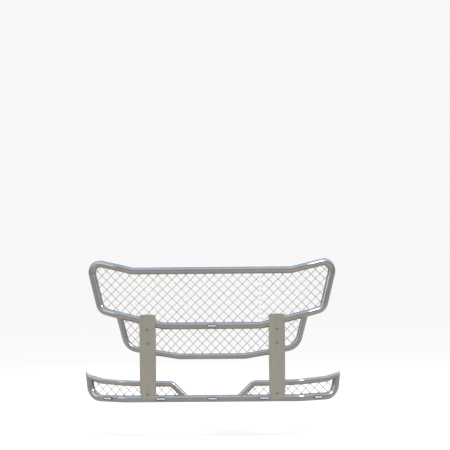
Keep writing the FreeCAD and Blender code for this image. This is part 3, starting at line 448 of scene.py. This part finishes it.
def outer_only(lines):
    """Of the two rings at a tube's end, the one on its outside."""
    kept = []
    for points, closed in sorted(lines, key=lambda line: -line_length(*line)):
        middle = sum(points, Vector()) / len(points)
        inside = any((middle - other).length < RING_PAIR_DISTANCE for other, ring in kept)
        if not inside:
            kept.append((middle, (points, closed)))
    return [ring for middle, ring in kept]


def concave_lines(name, least_length):
    """The inner corners of a welded plate assembly."""
    mesh = merged(name)
    edges = [edge for edge in mesh.edges if len(edge.link_faces) == 2
             and math.degrees(edge.calc_face_angle_signed()) < -INNER_CORNER_DEGREES]
    lines = [line for line in chains(edges) if line_length(*line) > least_length]
    mesh.free()
    return lines


def resampled(points, closed, step):
    """Even points along a line."""
    ends = points + points[:1] if closed else points
    length = line_length(points, closed)
    count = max(2, round(length / step))
    wanted = [length * index / count for index in range(count if closed else count + 1)]
    result = []
    travelled = 0.0
    index = 0
    for distance in wanted:
        while index < len(ends) - 2 and travelled + (ends[index + 1] - ends[index]).length < distance:
            travelled += (ends[index + 1] - ends[index]).length
            index += 1
        run = ends[index + 1] - ends[index]
        share = (distance - travelled) / run.length if run.length else 0.0
        result.append(ends[index] + run * min(share, 1.0))
    return result


def add_bead(mesh, points, closed, radius):
    """A rippled weld bead along a line, as overlapping puddles leave it."""
    path = resampled(points, closed, BEAD_STEP)
    count = len(path)
    if count < 3:
        return
    step = line_length(points, closed) / (count if closed else count - 1)
    rings = []
    side = None
    for index, point in enumerate(path):
        before = path[index - 1] if closed or index else path[0]
        after = path[(index + 1) % count] if closed or index < count - 1 else path[-1]
        along = (after - before).normalized()
        if side is None:
            side = along.orthogonal().normalized()
        side = (side - along * side.dot(along)).normalized()
        across = along.cross(side)
        swell = 1 + RIPPLE_DEPTH * math.sin(math.tau * index * step / RIPPLE_PITCH)
        if not closed and index in (0, count - 1):
            swell *= BEAD_END_SWELL
        ring = []
        for turn in range(BEAD_SIDES):
            angle = math.tau * turn / BEAD_SIDES
            offset = side * math.cos(angle) + across * math.sin(angle)
            ring.append(mesh.verts.new(point + offset * (radius * swell)))
        rings.append(ring)
    for ring, following in zip(rings, rings[1:]):
        for turn in range(BEAD_SIDES):
            onward = (turn + 1) % BEAD_SIDES
            mesh.faces.new((ring[turn], ring[onward], following[onward], following[turn]))
    if closed:
        close_ring(mesh, rings[-1], rings[0])
    else:
        mesh.faces.new(rings[0][::-1])
        mesh.faces.new(rings[-1])


def close_ring(mesh, last, first):
    """Joins the last ring of a closed bead to the first, starting at the nearest corner."""
    shift = min(range(BEAD_SIDES), key=lambda turn: (first[turn].co - last[0].co).length)
    for turn in range(BEAD_SIDES):
        onward = (turn + 1) % BEAD_SIDES
        mesh.faces.new((last[turn], last[onward],
                        first[(onward + shift) % BEAD_SIDES], first[(turn + shift) % BEAD_SIDES]))


def add_spot(mesh, centre, normal, size):
    """A small flattened blob of weld."""
    turn = Vector((0, 0, 1)).rotation_difference(normal).to_matrix().to_4x4()
    place = Matrix.Translation(centre) @ turn @ Matrix.Diagonal((*size, 1))
    bmesh.ops.create_icosphere(mesh, subdivisions=2, radius=1.0, matrix=place)


def finished_piece(name, mesh, material, body):
    """Makes a piece from a bmesh, smooth, riding on a body."""
    bmesh.ops.recalc_face_normals(mesh, faces=mesh.faces)
    for face in mesh.faces:
        face.smooth = True
    data = bpy.data.meshes.new(name)
    mesh.to_mesh(data)
    mesh.free()
    data.materials.append(material)
    piece = bpy.data.objects.new(name, data)
    bpy.context.scene.collection.objects.link(piece)
    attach(piece, body)
    return piece


def beads(name, lines, radius, material, body):
    mesh = bmesh.new()
    for points, closed in lines:
        add_bead(mesh, points, closed, radius)
    return finished_piece(name, mesh, material, body)


# --- Welds between the tubes ---

def make_tube_welds():
    """A bead round each joint of two tubes."""
    seams = [("hoop_butt_welds", "hoop_top_tube", ["hoop_bottom_tube"]),
             ("loop_welds", "loop_tube", ["hoop_bottom_tube"])]
    for side in ("left", "right"):
        seams.append(("light_bar_weld_" + side, "light_bar_tube_" + side, ["bottom_tube"]))
    for name, node, neighbours in seams:
        seam = contact_lines(node, neighbours, SHORTEST_TUBE_SEAM, TUBE_CONTACT_TOLERANCE)
        rings = outer_only(seam)
        beads(name, rings, TUBE_BEAD_RADIUS, WELD_METAL, "guard")


def make_plate_welds():
    """Beads along the lugs and round the caps, and painted ones in the brackets' corners."""
    for side in ("left", "right"):
        plate = "post_back_plate_" + side
        lugs = contact_lines("hinge_lugs_" + side, [plate, "bottom_tube"], SHORTEST_LUG_SEAM)
        beads("lug_welds_" + side, lugs, PLATE_BEAD_RADIUS, WELD_METAL,
              "guard")
        corners = concave_lines("chassis_bracket_" + side, SHORTEST_BRACKET_CORNER)
        beads("bracket_welds_" + side, corners, PLATE_BEAD_RADIUS,
              MATERIALS["black_painted_steel"], "chassis_mounts")
        cap = contact_lines("post_cap_" + side, ["post_shell_" + side], SHORTEST_CAP_SEAM)
        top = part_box("post_cap_" + side)[1].z - CAP_TOP_BAND
        cap = [line for line in cap if min(point.z for point in line[0]) > top]
        beads("cap_weld_" + side, cap, CAP_BEAD_RADIUS, WELD_METAL, "guard")


# --- Welds of the wire mesh ---

def wires_of(name):
    """The axis of every wire in a sheet, as (start, end)."""
    mesh = merged(name)
    left = set(mesh.verts)
    axes = []
    while left:
        island = [left.pop()]
        for vert in island:
            for edge in vert.link_edges:
                other = edge.other_vert(vert)
                if other in left:
                    left.discard(other)
                    island.append(other)
        points = np.array([vert.co for vert in island])
        centre = points.mean(0)
        along = np.linalg.svd(points - centre, full_matrices=False)[2][0]
        reach = (points - centre) @ along
        rim = points - centre - np.outer(reach, along)
        ends = [centre + along * value for value in (reach.min(), reach.max())]
        middle = (rim.max(0) + rim.min(0)) / 2
        axes.append((Vector(ends[0] + middle), Vector(ends[1] + middle)))
    mesh.free()
    return axes


def nearest_points(first, second):
    """Where two straight wires pass each other, or None if they don't."""
    first_run = first[1] - first[0]
    second_run = second[1] - second[0]
    apart = first[0] - second[0]
    first_square = first_run.dot(first_run)
    second_square = second_run.dot(second_run)
    overlap = first_run.dot(second_run)
    spread = first_square * second_square - overlap * overlap
    if spread < PARALLEL_LIMIT:
        return None
    first_back = first_run.dot(apart)
    second_back = second_run.dot(apart)
    first_share = (overlap * second_back - second_square * first_back) / spread
    second_share = (first_square * second_back - overlap * first_back) / spread
    if not (0 <= first_share <= 1 and 0 <= second_share <= 1):
        return None
    return first[0] + first_run * first_share, second[0] + second_run * second_share


def make_mesh_welds():
    """A spot weld where two wires cross, and where a wire ends on a tube."""
    tube_trees = []
    for name in TUBES:
        tube = merged(name)
        tube_trees.append(BVHTree.FromBMesh(tube))
        tube.free()
    for name in sorted(NODES):
        if "_mesh" not in name:
            continue
        wires = wires_of(name)
        crossings = bmesh.new()
        rising = [wire for wire in wires if leans_right(wire)]
        falling = [wire for wire in wires if not leans_right(wire)]
        for first in rising:
            for second in falling:
                meeting = nearest_points(first, second)
                if meeting is None or (meeting[0] - meeting[1]).length > 3 * WIRE_RADIUS:
                    continue
                centre = (meeting[0] + meeting[1]) / 2
                add_spot(crossings, centre, (meeting[1] - meeting[0]).normalized(), CROSSING_SPOT)
        finished_piece(name + "_crossing_welds", crossings, MATERIALS["stainless_wire"],
                       "guard")
        ends = bmesh.new()
        for point in [end for wire in wires for end in wire]:
            for tree in tube_trees:
                place, normal, index, distance = tree.find_nearest(point, WIRE_END_REACH)
                if place is not None:
                    add_spot(ends, place, normal, WIRE_END_SPOT)
        finished_piece(name + "_end_welds", ends, WELD_METAL, "guard")


def leans_right(wire):
    run = wire[1] - wire[0]
    return run.x * run.z > 0


# --- Lamps ---

def make_lamp_chips():
    """A row of light chips behind each lens, just off the back of it."""
    mesh = bmesh.new()
    for name in sorted(NODES):
        if not name.startswith("marker_lens"):
            continue
        points = np.array([vert.co for vert in NODES[name].data.vertices])
        centre = (points.max(0) + points.min(0)) / 2
        axes = np.linalg.svd(points - points.mean(0), full_matrices=False)[2]
        along = Vector(axes[0])
        outward = Vector(axes[2]) if axes[2][1] < 0 else -Vector(axes[2])
        length = np.ptp((points - centre) @ axes[0])
        depth = np.ptp((points - centre) @ axes[2])
        across = outward.cross(along).normalized()
        turn = Matrix((along, across, outward)).transposed().to_4x4()
        for index in range(CHIPS_PER_LAMP):
            share = (index + 0.5) / CHIPS_PER_LAMP - 0.5
            place = Vector(centre) + along * (share * length) - outward * (depth / 2 - CHIP_DEPTH)
            size = Matrix.Diagonal((CHIP_SIZE, CHIP_SIZE, CHIP_DEPTH, 1))
            made = bmesh.ops.create_cube(mesh, size=1.0, matrix=Matrix.Translation(place) @ turn @ size)
            edges = list({edge for vert in made["verts"] for edge in vert.link_edges})
            bmesh.ops.bevel(mesh, geom=edges, offset=CHIP_DEPTH / 4, segments=2, affect="EDGES")
    finished_piece("lamp_chips", mesh, chip_phosphor(), "guard")


# --- Studio ---

def make_floor():
    """A plain pale floor, with painted shade in what the metal mirrors: glossy rays see it as darker,
    browner ground.
    """
    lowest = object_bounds()[0][2]
    half = FLOOR_SIZE / 2
    mesh = bpy.data.meshes.new("floor")
    corners = [(-half, -half, 0), (half, -half, 0), (half, half, 0), (-half, half, 0)]
    mesh.from_pydata(corners, [], [(0, 1, 2, 3)])
    floor = bpy.data.objects.new("floor", mesh)
    floor.location.z = lowest - FLOOR_DROP
    bpy.context.scene.collection.objects.link(floor)
    look = Shader("floor", FLOOR_COLOUR, roughness=0.85, Specular_IOR_Level=0.0)
    path = look.node("ShaderNodeLightPath")
    pale = look.node("ShaderNodeRGB")
    pale.outputs[0].default_value = (*FLOOR_COLOUR, 1)
    # Painted shade: reflections get this darker colour in place of the floor's own.
    ground = look.node("ShaderNodeRGB")
    ground.outputs[0].default_value = (*MIRRORED_GROUND_SHADE, 1)
    seen = look.blend(pale.outputs[0], ground.outputs[0], path.outputs["Is Glossy Ray"])
    look.set("Base Color", seen)
    mesh.materials.append(look.material)


def make_world():
    """The metal mirrors a sky over dim ground; plain white lights the floor and backs it."""
    world = bpy.data.worlds.new("studio")
    world.use_nodes = True
    bpy.context.scene.world = world
    tree = world.node_tree
    sky = tree.nodes["Background"]
    output = tree.nodes["World Output"]
    coordinates = tree.nodes.new("ShaderNodeTexCoord")
    parts = tree.nodes.new("ShaderNodeSeparateXYZ")
    tree.links.new(coordinates.outputs["Generated"], parts.inputs[0])
    height = tree.nodes.new("ShaderNodeMapRange")
    height.inputs["From Min"].default_value = -1.0
    tree.links.new(parts.outputs["Z"], height.inputs["Value"])
    ramp = tree.nodes.new("ShaderNodeValToRGB")
    while len(ramp.color_ramp.elements) < len(SKY_STOPS):
        ramp.color_ramp.elements.new(0.5)
    for element, (position, colour) in zip(ramp.color_ramp.elements, SKY_STOPS):
        element.position = position
        element.color = (*colour, 1)
    tree.links.new(height.outputs["Result"], ramp.inputs["Fac"])
    tree.links.new(ramp.outputs["Color"], sky.inputs["Color"])
    path = tree.nodes.new("ShaderNodeLightPath")
    seen = sky.outputs["Background"]
    plain_colours = {"Is Diffuse Ray": SOFT_LIGHT_COLOUR, "Is Camera Ray": BACKGROUND_COLOUR}
    for ray, colour in plain_colours.items():
        plain = tree.nodes.new("ShaderNodeBackground")
        plain.inputs["Color"].default_value = (*colour, 1)
        mix = tree.nodes.new("ShaderNodeMixShader")
        tree.links.new(path.outputs[ray], mix.inputs["Fac"])
        tree.links.new(seen, mix.inputs[1])
        tree.links.new(plain.outputs["Background"], mix.inputs[2])
        seen = mix.outputs["Shader"]
    tree.links.new(seen, output.inputs["Surface"])


def area_light(name, location, target, size, watts, colour):
    light = bpy.data.lights.new(name, "AREA")
    light.shape = "RECTANGLE"
    light.size = size[0]
    light.size_y = size[1]
    light.energy = watts
    light.color = colour
    lamp = bpy.data.objects.new(name, light)
    lamp.location = location
    lamp.rotation_euler = (Vector(target) - Vector(location)).to_track_quat("-Z", "Y").to_euler()
    bpy.context.scene.collection.objects.link(lamp)


def make_lights():
    for light in LIGHTS:
        area_light(*light)


def make_camera():
    """Placed from the bottom tube's front and from the lens in the middle of it."""
    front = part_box("bottom_tube")[0].y
    lens_low, lens_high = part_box("marker_lens_centre")
    tube_height = (lens_low.z + lens_high.z) / 2
    eye = Vector((CAMERA_SIDE, front - CAMERA_DISTANCE, tube_height + CAMERA_ABOVE_BOTTOM_TUBE))
    aim = Vector((CAMERA_AIM_X, front, eye.z))
    data = bpy.data.cameras.new("camera")
    data.lens = CAMERA_LENS_MM
    data.sensor_width = 36.0
    data.clip_end = 500.0
    camera = bpy.data.objects.new("camera", data)
    turn = (aim - eye).to_track_quat("-Z", "Y").to_matrix().to_4x4()
    roll = Matrix.Rotation(math.radians(CAMERA_ROLL_DEGREES), 4, "Z")
    camera.matrix_world = turn @ roll
    camera.location = eye
    bpy.context.scene.collection.objects.link(camera)
    bpy.context.scene.camera = camera


bpy.context.scene.view_settings.view_transform = "Standard"
make_camera()
dress_cad_nodes()
make_tube_welds()
make_plate_welds()
make_mesh_welds()
make_lamp_chips()
make_floor()
make_world()
make_lights()
